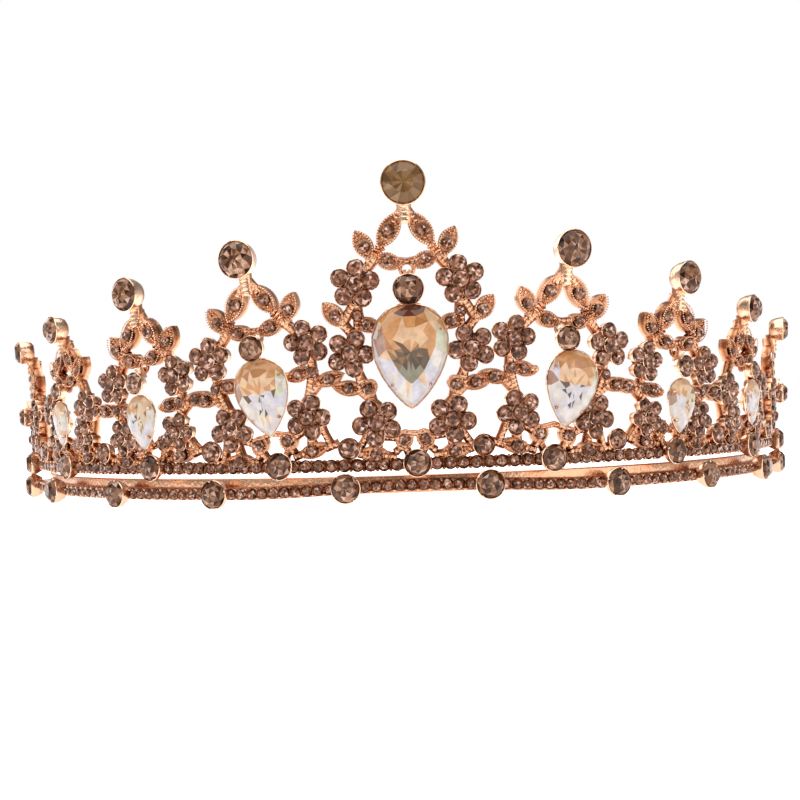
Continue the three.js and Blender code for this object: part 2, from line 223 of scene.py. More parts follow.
def pattern(name, bm):
    """Keeps a finished shape, to be stamped wherever the tiara repeats it."""
    bmesh.ops.recalc_face_normals(bm, faces=bm.faces)
    mesh = bpy.data.meshes.new(name)
    bm.to_mesh(mesh)
    bm.free()
    return mesh


# Each ring of facets is cut a hair off true, so that one diagonal of a facet is always the shorter, and
# the facets are put in order along a slanting line: the stones then come out the same every run.
OFF_TRUE = 0.03
FACET_ORDER = Vector((1.0, 0.37, 7.1))


def cut_stone(name, sides, rings):
    """A faceted round stone of radius 1 from [radius, height, half turns] rings, table first."""
    bm = bmesh.new()
    bmesh.ops.create_circle(bm, cap_ends=True, cap_tris=True, segments=sides, radius=rings[0][0])
    bmesh.ops.translate(bm, vec=(0, 0, rings[0][1]), verts=bm.verts)
    for radius, height, half_turns in rings[1:]:
        rim = [edge for edge in bm.edges if edge.is_boundary]
        grown = bmesh.ops.extrude_edge_only(bm, edges=rim)["geom"]
        turn = Matrix.Rotation((half_turns + OFF_TRUE) * math.pi / sides, 3, "Z")
        for vert in (item for item in grown if isinstance(item, bmesh.types.BMVert)):
            flat = Vector((vert.co.x, vert.co.y, 0)).normalized() * radius
            vert.co = turn @ flat + Vector((0, 0, height))
    bmesh.ops.triangulate(bm, faces=bm.faces, quad_method="SHORT_EDGE")
    bmesh.ops.holes_fill(bm, edges=bm.edges)
    bm.faces.sort(key=lambda face: face.calc_center_median().dot(FACET_ORDER))
    return pattern(name, bm)


def turned(name, profile, steps):
    """A shape of revolution about Z from [radius, height] pairs that start and end on the axis."""
    bm = bmesh.new()
    verts = [bm.verts.new((radius, 0, height)) for radius, height in profile]
    edges = [bm.edges.new(pair) for pair in zip(verts, verts[1:])]
    bmesh.ops.spin(bm, geom=verts + edges, steps=steps, **FULL_TURN)
    bmesh.ops.remove_doubles(bm, verts=bm.verts, dist=0.001)
    return pattern(name, bm)


def stamp(bm, shape, place, seed=None):
    """Copies a pattern to a place; a seed gives each of its facets its own level of painted reflection."""
    first_vert, first_face = len(bm.verts), len(bm.faces)
    bm.from_mesh(shape)
    bm.verts.ensure_lookup_table()
    bm.faces.ensure_lookup_table()
    bmesh.ops.transform(bm, matrix=place, verts=bm.verts[first_vert:])
    if seed is None:
        return
    tone = bm.faces.layers.float["tone"]
    for i, face in enumerate(bm.faces[first_face:]):
        face[tone] = glint(i + 1, seed)


def sized(place, radius, height=None):
    height = radius if height is None else height
    return place @ Matrix.Diagonal((radius, radius, height, 1))


def stone_bmesh():
    bm = bmesh.new()
    bm.faces.layers.float.new("tone")
    return bm


small_cut = cut_stone("small_cut", 6, [(0.5, 0.78, 0), (0.84, 0.5, 1), (1.0, 0.15, 1), (0.9, -0.2, 0)])
claw = bmesh.new()
bmesh.ops.create_icosphere(claw, subdivisions=1, radius=1)
claw = pattern("claw", claw)
small_cup = turned("small_cup", [
    (0, -0.7), (0.98, -0.7), (1.12, -0.1), (1.13, 0.12), (1.06, 0.2), (0.98, 0.12), (0.9, -0.15), (0, -0.2),
], 12)


def cut_glass(name, facet_share, cell_scale, stops):
    """Tinted glass whose facets carry painted reflections of a foil, each its own, broken up by the cells.
    """
    polish = {"IOR": 1.3, "Coat_Weight": 0.12, "Coat_Roughness": 0.02, "Coat_IOR": 1.6}
    material, wire, shader = new_material(name, **polish)
    place = wire.make("ShaderNodeTexCoord", output=3)
    facet = wire.make("ShaderNodeAttribute", {"attribute_name": "tone"}, output=2)
    cell = wire.make("ShaderNodeTexVoronoi", output=1, Vector=place, Scale=cell_scale)
    painted_sparkle = wire.make("ShaderNodeSeparateColor", Color=cell)
    cloud = wire.make("ShaderNodeTexNoise", Vector=place, Scale=cell_scale * 0.7)
    tone = facet * facet_share + painted_sparkle * (0.9 - facet_share) + cloud * 0.1
    wire.make("ShaderNodeValToRGB", {"stops": stops}, Fac=tone).into(shader, "Base Color")
    (0.04 + cloud * 0.10).into(shader, "Roughness")
    return material


# Smoky topaz: painted reflections run from near black through the stone's tea brown to a pinkish grey
# glint.
topaz = cut_glass("topaz_small", 0.58, 1500.0, [
    (0.16, (0.022, 0.006, 0.003)), (0.36, (0.085, 0.028, 0.012)), (0.56, (0.210, 0.080, 0.040)),
    (0.74, (0.400, 0.195, 0.120)), (0.88, (0.780, 0.560, 0.480)),
])
topaz_large = cut_glass("topaz_large", 0.74, 620.0, [
    (0.14, (0.016, 0.005, 0.003)), (0.36, (0.075, 0.028, 0.013)), (0.56, (0.180, 0.080, 0.040)),
    (0.76, (0.330, 0.165, 0.092)), (0.93, (0.640, 0.440, 0.350)),
])


def stone_row(low, high, pitch, radius, lifted, skipped, seed):
    """A channel with its small stones, cups and claws, but none under the big stones' seats."""
    metal = band(wall_radius, ROW_THICK, low, high, math.radians(ROW_HALF_ANGLE), ROW_EDGE)
    if lifted:
        for vert in metal.verts:
            angle = math.degrees(math.atan2(vert.co.x, plan_y * MM - vert.co.y))
            vert.co.z += lift(angle) * MM
    stones = stone_bmesh()
    count = int(2 * math.radians(ROW_HALF_ANGLE) * (wall_radius + ROW_THICK) / pitch)
    for i in range(count):
        angle = (i + 0.5) / count * 2 * ROW_HALF_ANGLE - ROW_HALF_ANGLE
        if any(abs(angle - other) < LARGE_SEAT_HALF_ANGLE for other in skipped):
            continue
        height = (low + high) / 2 + (lift(angle) if lifted else 0)
        seat = wall_place(angle, height, ROW_THICK + radius * SMALL_SEAT, turn=60 * glint(i, seed))
        stamp(metal, small_cup, sized(seat, radius))
        stamp(stones, small_cut, sized(seat, radius), seed + i)
        for side in (-1, 1):
            corner = wall_place(angle, height, ROW_THICK + radius * SMALL_GIRDLE)
            corner = corner @ Matrix.Translation((-pitch / 2, side * radius * SMALL_GIRDLE, 0))
            stamp(metal, claw, sized(corner, ROW_CLAW_WIDTH, ROW_CLAW_HEIGHT))
    return metal, stones


def side_angle(node):
    """The angle round the wall at which a CAD stone stands."""
    low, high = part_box(node)
    return math.degrees(math.atan2((low[0] + high[0]) / 2, plan_y * MM - (low[1] + high[1]) / 2))


lower_angles = [side_angle(f"lower_row_stone_{i + 1}") for i in range(10)]
lower_metal, lower_small = stone_row(
    low=1.2, high=3.4, pitch=2.03, radius=0.95, lifted=True, skipped=lower_angles, seed=11,
)

# The ten large stones of the row stand in front of it in round cups, rim to rim with the claws.
LARGE_STONE, LARGE_STONE_Z, LARGE_SEAT = 2.45, 2.35, 2.9
large_cut = cut_stone("large_cut", 8, [
    (0.2, 0.80, 0), (0.56, 0.80, 1), (0.80, 0.60, 1), (1.0, 0.30, 1), (1.0, 0.2, 0), (0.8, -0.05, 0),
])
large_cup = turned("large_cup", [
    (0, -0.6), (0.72, -0.6), (1.0, -0.1), (1.07, 0.22), (1.07, 0.32), (1.02, 0.37), (0.98, 0.3), (0.9, 0),
    (0, -0.1),
], 28)
large_stones = {}


def large_stone(metal, node, seat, radius, seed):
    """One large stone in its cup, with four claws folded over the girdle."""
    stamp(metal, large_cup, sized(seat, radius))
    girdle = Matrix.Translation((radius * 0.98, 0, radius * 0.34))
    for quarter in range(4):
        at = seat @ Matrix.Rotation(math.radians(45 + 90 * quarter), 4, "Z") @ girdle
        stamp(metal, claw, sized(at, radius * 0.10, radius * 0.12))
    stones = stone_bmesh()
    stamp(stones, large_cut, sized(seat, radius), seed)
    large_stones[node] = stones


for i, angle in enumerate(lower_angles):
    seat = wall_place(angle, LARGE_STONE_Z + lift(angle), LARGE_SEAT, turn=20 * i)
    large_stone(lower_metal, f"lower_row_stone_{i + 1}", seat, LARGE_STONE, 300 + i)
finish_piece("lower_row", lower_metal, rose_gold, "rose_gold", "lower_stone_channel")
finish_piece("lower_row_small_stones", lower_small, topaz, "topaz_glass", smooth=0)

# ---- Upper stone row -------------------------------------------------------------------------
# The second channel, a little coarser, carries the castings. A large stone marks the foot of each
# peak, and a smaller one stands on the row in each dip between two peaks.
PEAK_NAMES = ["centre"] + [f"{side}_{i}" for side in ("left", "right") for i in range(1, 5)]
peak_angles = {name: side_angle(f"{name}_upper_row_stone") for name in PEAK_NAMES}
PEAK_STONE, PEAK_STONE_Z = 2.3, 7.2
upper_metal, upper_small = stone_row(
    low=6.1, high=7.9, pitch=2.26, radius=1.06, lifted=False, skipped=peak_angles.values(), seed=57,
)
for i, (name, angle) in enumerate(peak_angles.items()):
    seat = wall_place(angle, PEAK_STONE_Z, LARGE_SEAT, turn=35 * i)
    large_stone(upper_metal, f"{name}_upper_row_stone", seat, PEAK_STONE, 400 + i)

# Each of the stones in the dips stands on a bead of solder on top of the row.
DIP_ANGLES = [8.1, 26, 44.6, 63.5]
DIP_STONE, DIP_STONE_Z, DIP_SEAT = 1.85, 9.9, 2.1
for i, angle in enumerate([side * at for at in DIP_ANGLES for side in (-1, 1)]):
    seat = wall_place(angle, DIP_STONE_Z, DIP_SEAT, turn=25 * i)
    stamp(upper_metal, large_cup, sized(seat, DIP_STONE))
    stamp(upper_small, large_cut, sized(seat, DIP_STONE), 500 + i)
    stamp(upper_metal, claw, sized(wall_place(angle, 8.4, 0.9), 1.0, 0.8))
finish_piece("upper_row", upper_metal, rose_gold, "rose_gold", "upper_stone_channel")
finish_piece("upper_row_small_stones", upper_small, topaz, "topaz_glass", smooth=0)

# ---- Parts that the castings repeat ----------------------------------------------------------
# Marquise leaves with a beaded rim round a sunken bed, plain-rimmed ovals, petal cups, and the
# rounded twigs that tie them together. All are modelled at one size and stamped to scale.
LEAF_BACK, BED_DEPTH = -0.9, 0.45
LARGEST_GRAIN = 0.46


def marquise(a, length, width, point):
    """A point of a leaf's outline, round for a point of 0 and sharper at both ends above that."""
    return Vector((length / 2 * math.cos(a), width / 2 * math.sin(a) * abs(math.sin(a)) ** point, 0))


def rimmed(name, length, width, point, rim, thick, beads, bead_radius, stone=0):
    """A leaf or an oval: a raised rim round a bed, beads along the rim and grains past the stone."""
    bm = bmesh.new()
    bmesh.ops.create_circle(bm, cap_ends=True, segments=28, radius=1)
    for vert in bm.verts:
        vert.co = marquise(math.atan2(vert.co.y, vert.co.x), length, width, point)
    bmesh.ops.translate(bm, vec=(0, 0, thick), verts=bm.verts)
    bed = list(bm.faces)
    bmesh.ops.inset_region(bm, faces=bed, thickness=rim, depth=0)
    bmesh.ops.inset_region(bm, faces=bed, thickness=rim * 0.4, depth=-thick * BED_DEPTH)
    outer = [edge for edge in bm.edges if edge.is_boundary]
    wall = bmesh.ops.extrude_edge_only(bm, edges=outer)["geom"]
    for vert in (item for item in wall if isinstance(item, bmesh.types.BMVert)):
        vert.co.z = LEAF_BACK
    bmesh.ops.holes_fill(bm, edges=bm.edges)
    travelled = 0.0
    outline = [marquise(2 * math.pi * i / 240, length - rim, width - rim, point) for i in range(241)]
    spacing = sum((b - a).length for a, b in zip(outline, outline[1:])) / beads
    for a, b in zip(outline, outline[1:]):
        travelled += (b - a).length
        if travelled >= spacing:
            travelled -= spacing
            at = Matrix.Translation((*b.xy, thick))
            bmesh.ops.create_icosphere(bm, subdivisions=1, radius=bead_radius, matrix=at)
    for side in (-1, 1) if stone else ():
        reach, size = stone + 0.35, LARGEST_GRAIN
        while reach + size < length / 2 - rim:
            for across in (-1, 1):
                at = Matrix.Translation((side * reach, across * size * 0.8, thick * 0.62))
                bmesh.ops.create_icosphere(bm, subdivisions=1, radius=size * 0.8, matrix=at)
            reach, size = reach + size * 1.35, size * 0.72
    return pattern(name, bm)


leaf = rimmed(
    "leaf", length=7.4, width=3.6, point=0.75, rim=0.42, thick=1.5, beads=34, bead_radius=0.19, stone=1.2,
)
ear = rimmed(
    "ear", length=5.8, width=3.3, point=0.7, rim=0.42, thick=1.5, beads=26, bead_radius=0.18, stone=1.1,
)
oval = rimmed("oval", length=3.6, width=3.1, point=0.0, rim=0.32, thick=1.6, beads=18, bead_radius=0.13)
petal_cup = turned("petal_cup", [
    (0, -0.9), (0.85, -0.9), (1.06, -0.1), (1.08, 0.14), (1.02, 0.2), (0.94, 0.1), (0.9, -0.1), (0, -0.15),
], 14)
petal_cut = cut_stone("petal_cut", 8, [(0.52, 0.72, 0), (0.82, 0.5, 1), (1.0, 0.18, 1), (0.95, -0.1, 0)])

twig = bmesh.new()
start = Matrix.Translation((-0.5, 0, 0)) @ Matrix.Rotation(math.pi / 2, 4, "Y")
bmesh.ops.create_circle(twig, cap_ends=True, segments=10, radius=0.5, matrix=start)
end = list(twig.faces)
for step, girth in ((0.04, 1.0), (0.23, 0.93), (0.23, 0.88), (0.23, 0.93), (0.23, 1.0), (0.04, 0.7)):
    grown = bmesh.ops.extrude_face_region(twig, geom=end)["geom"]
    end_verts = [item for item in grown if isinstance(item, bmesh.types.BMVert)]
    bmesh.ops.delete(twig, geom=end, context="FACES_ONLY")
    end = [item for item in grown if isinstance(item, bmesh.types.BMFace)]
    bmesh.ops.translate(twig, vec=(step, 0, 0), verts=end_verts)
    for vert in end_verts:
        flat = Vector((0, vert.co.y, vert.co.z)).normalized() * 0.5 * girth
        vert.co = Vector((vert.co.x, flat.y, flat.z))
twig = pattern("twig", twig)

ring = bmesh.new()
wire_section = Matrix.Translation((1, 0, 0)) @ Matrix.Rotation(math.pi / 2, 4, "X")
bmesh.ops.create_circle(ring, segments=8, radius=0.3, matrix=wire_section)
bmesh.ops.spin(ring, geom=ring.verts[:] + ring.edges[:], steps=20, **FULL_TURN)
ring = pattern("ring", ring)

# ---- Peak castings ---------------------------------------------------------------------------
# Each peak is one lost-wax casting. From its tip cup a neck splits into two beaded leaves, which end
# in ribbed knots with an ear and a flower each; inner leaves close the arch over the bail.

# By size of peak: the height of the tip, the lean away from the centre, the scale of the crown, the
# pear's width and height, and the flowers' distance to the side, height and reach.
PEAKS = {
    "centre": {"tip": 55, "lean": 0, "crown": 1, "pear": (12.8, 17.6),
               "flower": (8.9, 38.4, 4.2), "foot": (6.3, 14.5, 4.2)},
    "1": {"tip": 43.8, "lean": 6, "crown": 0.96, "pear": (9.8, 13.4),
          "flower": (9.2, 27.6, 4), "foot": (7.1, 14.9, 4)},
    "2": {"tip": 39.1, "lean": 3, "crown": 0.92, "pear": (7, 9.8),
          "flower": (7.9, 23.3, 3.7), "foot": (6.7, 13.3, 3.5)},
    "3": {"tip": 34.05, "lean": 0, "crown": 0.78, "pear": (6, 8.6),
          "flower": (7.6, 18.5, 3.4), "foot": (6.2, 12.6, 3.2)},
    "4": {"tip": 31, "lean": 0, "crown": 0.72, "pear": None,
          "flower": (6.4, 17.3, 3.4), "foot": (5.6, 12.3, 3)},
}

# The castings were soldered on by hand, most of them leaning a little to the wearer's right.
USUAL_LEAN = -1.3
SOLDERED_LEAN = {"centre": -1.1, "right_1": -1.1, "right_2": 0.6, "right_3": -2.6, "right_4": 0}

# Twigs are cast a little fuller than they are drawn, with a rib every so many millimetres, at this share
# of their thickness.
TWIG_GIRTH, RIB_PITCH, RIB_RISE = 1.12, 0.75, 0.44
# A flower's petals, its two rings and its back, as shares of its reach.
PETAL, PETAL_RING, GRAIN_RING, FLOWER_BACK = 0.372, 0.64, 0.42, 0.68
BED_STONE_OUT = 1.25
HALF_PETAL_TURN = 0.63


class Peak:
    """One casting while it is being built: its metal, its small stones and its own axis."""

    def __init__(self, name, seed):
        self.name = name
        self.seed = seed
        self.shape = PEAKS[name.split("_")[-1]]
        self.side = -1 if name.startswith("left") else 1
        self.angle = peak_angles[name]
        self.lean = self.shape["lean"] * self.side + SOLDERED_LEAN.get(name, USUAL_LEAN)
        self.metal = bmesh.new()
        self.stones = stone_bmesh()

    def place(self, u, z, out=0.0, turn=0.0):
        """A place u to the right of the casting's own leaning axis and z up it."""
        lean = math.radians(self.lean)
        along = u * math.cos(lean) + z * math.sin(lean)
        height = z * math.cos(lean) - u * math.sin(lean)
        angle = self.angle + math.degrees(along / (wall_radius + height * math.tan(math.radians(FLARE))))
        return wall_place(angle, height, out, FLARE, turn - self.lean)

    def stone(self, cut, u, z, out, radius):
        self.seed += 1
        stamp(self.stones, cut, sized(self.place(u, z, out, 50 * glint(self.seed, 3)), radius), self.seed)

    def twig(self, start, end, width, thick=2.2, out=0.45):
        """A twig from one point to another, ribbed across its front."""
        du, dz = end[0] - start[0], end[1] - start[1]
        turn = math.degrees(math.atan2(dz, du))
        place = self.place((start[0] + end[0]) / 2, (start[1] + end[1]) / 2, out, turn)
        width *= TWIG_GIRTH
        length = math.hypot(du, dz) + width * 0.5
        stamp(self.metal, twig, place @ Matrix.Diagonal((length, width, thick, 1)))
        count = int(length / RIB_PITCH)
        for i in range(count):
            along = (i + 0.5) / count * length - length / 2
            at = place @ Matrix.Translation((along, 0, thick * RIB_RISE))
            stamp(self.metal, claw, at @ Matrix.Diagonal((0.33, width * 0.3, 0.24, 1)))

    def rimmed(self, shape, u, z, turn, scale, radius, shift=0.0, out=0.4):
        """A leaf, ear or oval with one stone in its bed, shifted along the leaf."""
        place = self.place(u, z, out, turn)
        stamp(self.metal, shape, place @ Matrix.Diagonal((scale, scale, 1, 1)))
        self.seed += 1
        bed = place @ Matrix.Translation((shift, 0, BED_STONE_OUT))
        bed = bed @ Matrix.Rotation(glint(self.seed, 5), 4, "Z")
        stamp(self.stones, petal_cut, sized(bed, radius), self.seed)

    def flower(self, u, z, reach, turn):
        """Five petal stones round a raised middle one, with a grain of metal between two petals."""
        petal, petal_ring, grain_ring = reach * PETAL, reach * PETAL_RING, reach * GRAIN_RING
        stamp(self.metal, claw, sized(self.place(u, z, 0.7), reach * FLOWER_BACK, 0.8))
        for i in range(5):
            a = math.radians(turn + 72 * i)
            pu, pz = u + petal_ring * math.cos(a), z + petal_ring * math.sin(a)
            self.twig((u, z), (pu, pz), petal * 1.4, 1.8, 0.5)
            place = self.place(pu, pz, 1.75 + 0.25 * glint(self.seed, 9))
            stamp(self.metal, petal_cup, sized(place, petal))
            self.stone(petal_cut, pu, pz, 1.85 + 0.2 * glint(self.seed, 9), petal)
            a += HALF_PETAL_TURN
            grain = self.place(u + grain_ring * math.cos(a), z + grain_ring * math.sin(a), 2.2)
            stamp(self.metal, claw, sized(grain, 0.3, 0.4))
        stamp(self.metal, petal_cup, sized(self.place(u, z, 2.45), petal, petal * 1.3))
        self.stone(petal_cut, u, z, 2.55, petal)

    def knot(self, u, z, turn, scale):
        """Three rounded ribs side by side."""
        for i in (-1, 0, 1):
            rib = self.place(u, z, 1.3, turn) @ Matrix.Translation((i * 0.75 * scale, 0, 0))
            stamp(self.metal, claw, rib @ Matrix.Diagonal((0.5 * scale, 1.15 * scale, 0.85, 1)))


def mirrored(degrees, side):
    """A turn drawn for the right half of a peak, or its mirror image for the left half."""
    return degrees if side > 0 else 180 - degrees


def crown(peak, tip):
    """Neck, twin leaves, ears, knots, inner leaves, arch and bail, measured down from the tip.

    Every distance is that of the centre peak, and c brings it to the size of this one. The side s is
    -1 on the left and 1 on the right.
    """
    c = peak.shape["crown"]
    peak.twig((0, tip - 2.4 * c), (0, tip - 6.0 * c), 2.5 * c, 2.4, 1.2)
    for s in (-1, 1):
        peak.twig((0, tip - 3.4 * c), (s * 1.9 * c, tip - 6.2 * c), 1.5 * c, 2.6, 0.6)
        peak.rimmed(leaf, s * 2.75 * c, tip - 7.7 * c, mirrored(-57, s), c, 1.22 * c, 0.2)
        peak.knot(s * 4.75 * c, tip - 11.2 * c, mirrored(-57, s), c)
        peak.rimmed(ear, s * 7.2 * c, tip - 10.0 * c, mirrored(63, s), c, 1.08 * c, -0.45)
        peak.twig((s * 4.9 * c, tip - 12 * c), (s * 6.4 * c, tip - 12.4 * c), 2.2 * c)
        peak.rimmed(ear, s * 3.1 * c, tip - 13.0 * c, mirrored(20, s), c * 0.92, 1.1 * c, 0.1)
        peak.twig((s * 2.6 * c, tip - 12.6 * c), (0, tip - 13.1 * c), 1.1 * c, 1.6, 0.7)
        u, z, reach = peak.shape["flower"]
        peak.twig((s * 5.2 * c, tip - 12 * c), (s * u, z), 2 * c)
        peak.flower(s * u, z, reach, 90 + s * 8)
    stamp(peak.metal, ring, sized(peak.place(0, tip - 14.5 * c, 1.0), 1.15 * c, 1.1))


def body(peak, top, bottom, half_width):
    """What holds the pear: a leaf at each shoulder, foot flowers, and ovals under the point."""
    u, z, reach = peak.shape["flower"]
    foot_u, foot_z, foot_reach = peak.shape["foot"]
    c = 0.5 + peak.shape["crown"] / 2
    for s in (-1, 1):
        shoulder = (s * half_width * 0.86, top - half_width * 0.75)
        joint = (s * u * 0.98, z - reach - 1.2 * c)
        peak.twig((s * u, z - reach * 0.5), joint, 1.8 * c)
        peak.twig(joint, shoulder, 1.3 * c, 1.6, 0.8)
        stamp(peak.metal, petal_cup, sized(peak.place(*joint, 1.6), 1.0 * c))
        peak.stone(petal_cut, *joint, 1.7, 1.0 * c)
        between = ((joint[0] + shoulder[0]) / 2, (joint[1] + shoulder[1]) / 2)
        peak.rimmed(ear, *between, s * 14, c * 0.86, 1.05 * c)
        if peak.name != "centre":
            peak.twig(joint, (s * foot_u, foot_z + foot_reach * 0.5), 1.8 * c)
        peak.flower(s * foot_u, foot_z, foot_reach, 90 + s * 45)
        oval_u, arch_z = (1.8, 12.3) if peak.name == "centre" else (2.7, bottom + 0.3)
        peak.rimmed(oval, s * oval_u, 11.3, s * -62, c, 1.12 * c)
        peak.twig((s * oval_u, 10.4), (s * oval_u * 0.5, 8.0), 1.5)
        peak.twig((s * oval_u * 0.9, 12.4), (0, arch_z), 1.1, 1.8, 0.7)
        peak.twig((s * foot_u * 0.75, foot_z - foot_reach * 0.6), (s * (oval_u + 0.9), 11.6), 1.6)
        peak.rimmed(leaf, s * 7.0, 9.0, s * 9, c * 0.8, 1.15 * c, s * -0.3)
        peak.twig((s * 3.6, 8.5), (s * 5, 8.7), 1.5)
        peak.twig((s * 9.4, 9.2), (s * 11, 9.5), 1.6)
        peak.twig((s * 3.2, 9.4), (s * oval_u, 10.6), 1.4)
        peak.twig((s * foot_u, foot_z - foot_reach * 0.5), (s * 6.6, 9.4), 1.9)
        peak.twig((s * (foot_u + 1.8), foot_z - foot_reach * 0.5), (s * 10, 9.6), 1.5)
        edge_z = foot_z + foot_reach + 1.4
        peak.twig((s * foot_u, foot_z + foot_reach * 0.7), (s * (foot_u + 2.6), edge_z), 1.7)
        peak.rimmed(leaf, s * (foot_u + 4.6), edge_z + 0.5, s * 9, c * 0.78, 1.08 * c)
        peak.twig((s * u, z - reach - 1.5), (s * (foot_u + 2.8), edge_z), 1.3)


def collar(peak):
    """The wide centre peak's second ears and flowers, and the ovals beside its pear."""
    for s in (-1, 1):
        peak.rimmed(ear, s * 12.9, 33.4, mirrored(52, s), 0.98, 1.1, -0.4)
        peak.twig((s * 9.6, 34.6), (s * 11.6, 31.6), 1.9)
        peak.twig((s * 11.4, 31.8), (s * 9.6, 29.5), 1.9)
        peak.flower(s * 10.2, 26.6, 4.1, 90 + s * 24)
        peak.rimmed(oval, s * 7.5, 20.4, s * -60, 0.95, 1.1)
        peak.twig((s * 9.6, 24), (s * 7.9, 20.4), 1.9)
        peak.twig((s * 7.6, 20), (s * 6.6, 16.6), 2.1)


tip_cup = turned("tip_cup", [
    (0, -0.85), (0.56, -0.85), (0.80, -0.66), (0.95, -0.3), (1.05, 0.2), (1.06, 0.32), (1.02, 0.36),
    (0.97, 0.3), (0.9, 0), (0, -0.1),
], 32)
tip_cut = cut_stone("tip_cut", 12, [
    (0.22, 0.74, 0), (0.58, 0.74, 1), (0.82, 0.56, 1), (1.0, 0.28, 1), (1.0, 0.2, 0), (0.8, -0.05, 0),
])
star_cut = cut_stone("star_cut", 14, [(0.5, 0.66, 0), (0.97, 0.30, 0), (1.0, 0.18, 0), (0.8, -0.05, 0)])
# The centre tip stone's khaki glass: its facets too are painted darker and lighter as painted reflections.
khaki = cut_glass("khaki_glass", 0.55, 500.0, [
    (0.1, (0.085, 0.040, 0.014)), (0.5, (0.175, 0.088, 0.034)), (0.9, (0.300, 0.180, 0.090)),
])

# How high the box round a CAD stone is, as a share of the stone's width, how far out from the wall each
# kind of stone sits, and how far the flare of the wall brings down what sits so far out from it.
TIP_BOX, PENDANT_BOX = 0.95, 0.924
TIP_OUT, PENDANT_OUT, PEAR_OUT = 2.85, 3.3, 3.1
FLARE_DROP = 0.2
for number, name in enumerate(PEAK_NAMES):
    peak = Peak(name, 1000 * (number + 1))
    tip_low, tip_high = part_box(f"{name}_tip_stone")
    tip = peak.shape["tip"]
    tip_radius = (tip_high[2] - tip_low[2]) / MM / 2 / TIP_BOX
    crown(peak, tip)
    pendant_low, pendant_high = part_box(f"{name}_pendant_stone")
    pendant_radius = (pendant_high[2] - pendant_low[2]) / MM / 2 / PENDANT_BOX
    pendant_z = (pendant_low[2] + pendant_high[2]) / MM / 2 + floor_drop + FLARE_DROP
    if peak.shape["pear"]:
        width, height = peak.shape["pear"]
        pear_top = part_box(f"{name}_pear_stone")[1]
        top = pear_top[2] / MM + floor_drop + FLARE_DROP
        body(peak, top, top - height, width / 2)
    else:
        body(peak, pendant_z + pendant_radius, pendant_z - pendant_radius, pendant_radius)
    if name == "centre":
        collar(peak)
    seat = peak.place(0, tip, TIP_OUT, turn=8)
    stamp(peak.metal, tip_cup, sized(seat, tip_radius))
    stones = stone_bmesh()
    stamp(stones, star_cut if name == "centre" else tip_cut, sized(seat, tip_radius), 700 + number)
    large_stones[f"{name}_tip_stone"] = stones
    seat = peak.place(0, pendant_z, PENDANT_OUT)
    large_stone(peak.metal, f"{name}_pendant_stone", seat, pendant_radius, 800 + number)
    peak.twig((0, tip - 15 * peak.shape["crown"]), (0, pendant_z + pendant_radius * 0.6), 1.3, 2.6, 1.9)
    finish_piece(f"{name}_casting", peak.metal, rose_gold, "rose_gold", f"{name}_peak_casting")
    finish_piece(f"{name}_small_stones", peak.stones, topaz, "topaz_glass", smooth=0)

for node, stones in large_stones.items():
    glass = khaki if node == "centre_tip_stone" else topaz_large
    finish_piece(f"{node}_cut", stones, glass, "topaz_glass", node, smooth=0)

# ---- Pear drops ------------------------------------------------------------------------------
# Champagne-coloured pear stones, point down, with a broad table and two rings of crown facets. Their
# facets are amber at the top, with a painted dark pool of shade in the largest one and painted milky
# white reflections below.
pear_round = cut_stone("pear_round", 16, [
    (0.26, 0.84, 0), (0.52, 0.82, 1), (0.76, 0.80, 0), (0.90, 0.52, 1), (1.0, 0.22, 0), (1.0, 0.10, 0),
    (0.8, -0.15, 0),
])
pear_bezel = turned("pear_bezel", [
    (0, -0.45), (0.86, -0.45), (1.0, -0.2), (1.04, 0.1), (1.02, 0.16), (0.98, 0.1), (0.9, -0.2), (0, -0.25),
], 32)
AMBER, RUST, CHESTNUT = (0.46, 0.215, 0.078), (0.34, 0.135, 0.042), (0.11, 0.026, 0.009)
PEACH, ROSE, OLIVE = (0.58, 0.37, 0.22), (0.33, 0.19, 0.14), (0.048, 0.026, 0.009)
TEAK, SAGE, MIST = (0.095, 0.050, 0.017), (0.20, 0.18, 0.12), (0.46, 0.44, 0.33)
MILK, LILAC, BRONZE = (0.56, 0.50, 0.45), (0.49, 0.46, 0.50), (0.20, 0.105, 0.040)
PEAR_DEPTH, TABLE_LEVEL, TABLE_REACH, TABLE_SHRINK = 0.2, 0.79, 0.8, 0.25
PEAR_FULLNESS, PEAR_TAPER = 1.218, 0.7


def pear_shape(shape, width, height):
    """Draws a round pattern out to a pear of this size, point down, its table shrunk at that end."""
    bm = bmesh.new()
    bm.from_mesh(shape)
    middle = height * 0.04
    for vert in bm.verts:
        reach = math.hypot(vert.co.x, vert.co.y)
        t = math.atan2(vert.co.x, -vert.co.y)
        if reach < TABLE_REACH:
            reach *= 1 - TABLE_SHRINK + TABLE_SHRINK * min(max(abs(t) - 1.48, 0) / 0.7, 1)
        edge_x = PEAR_FULLNESS * width / 2 * math.sin(t) * abs(math.sin(t / 2)) ** PEAR_TAPER
        edge_y = -height / 2 * math.cos(t)
        thick = vert.co.z * width * PEAR_DEPTH
        vert.co = Vector((reach * edge_x, middle + reach * (edge_y - middle), thick))
    return bm


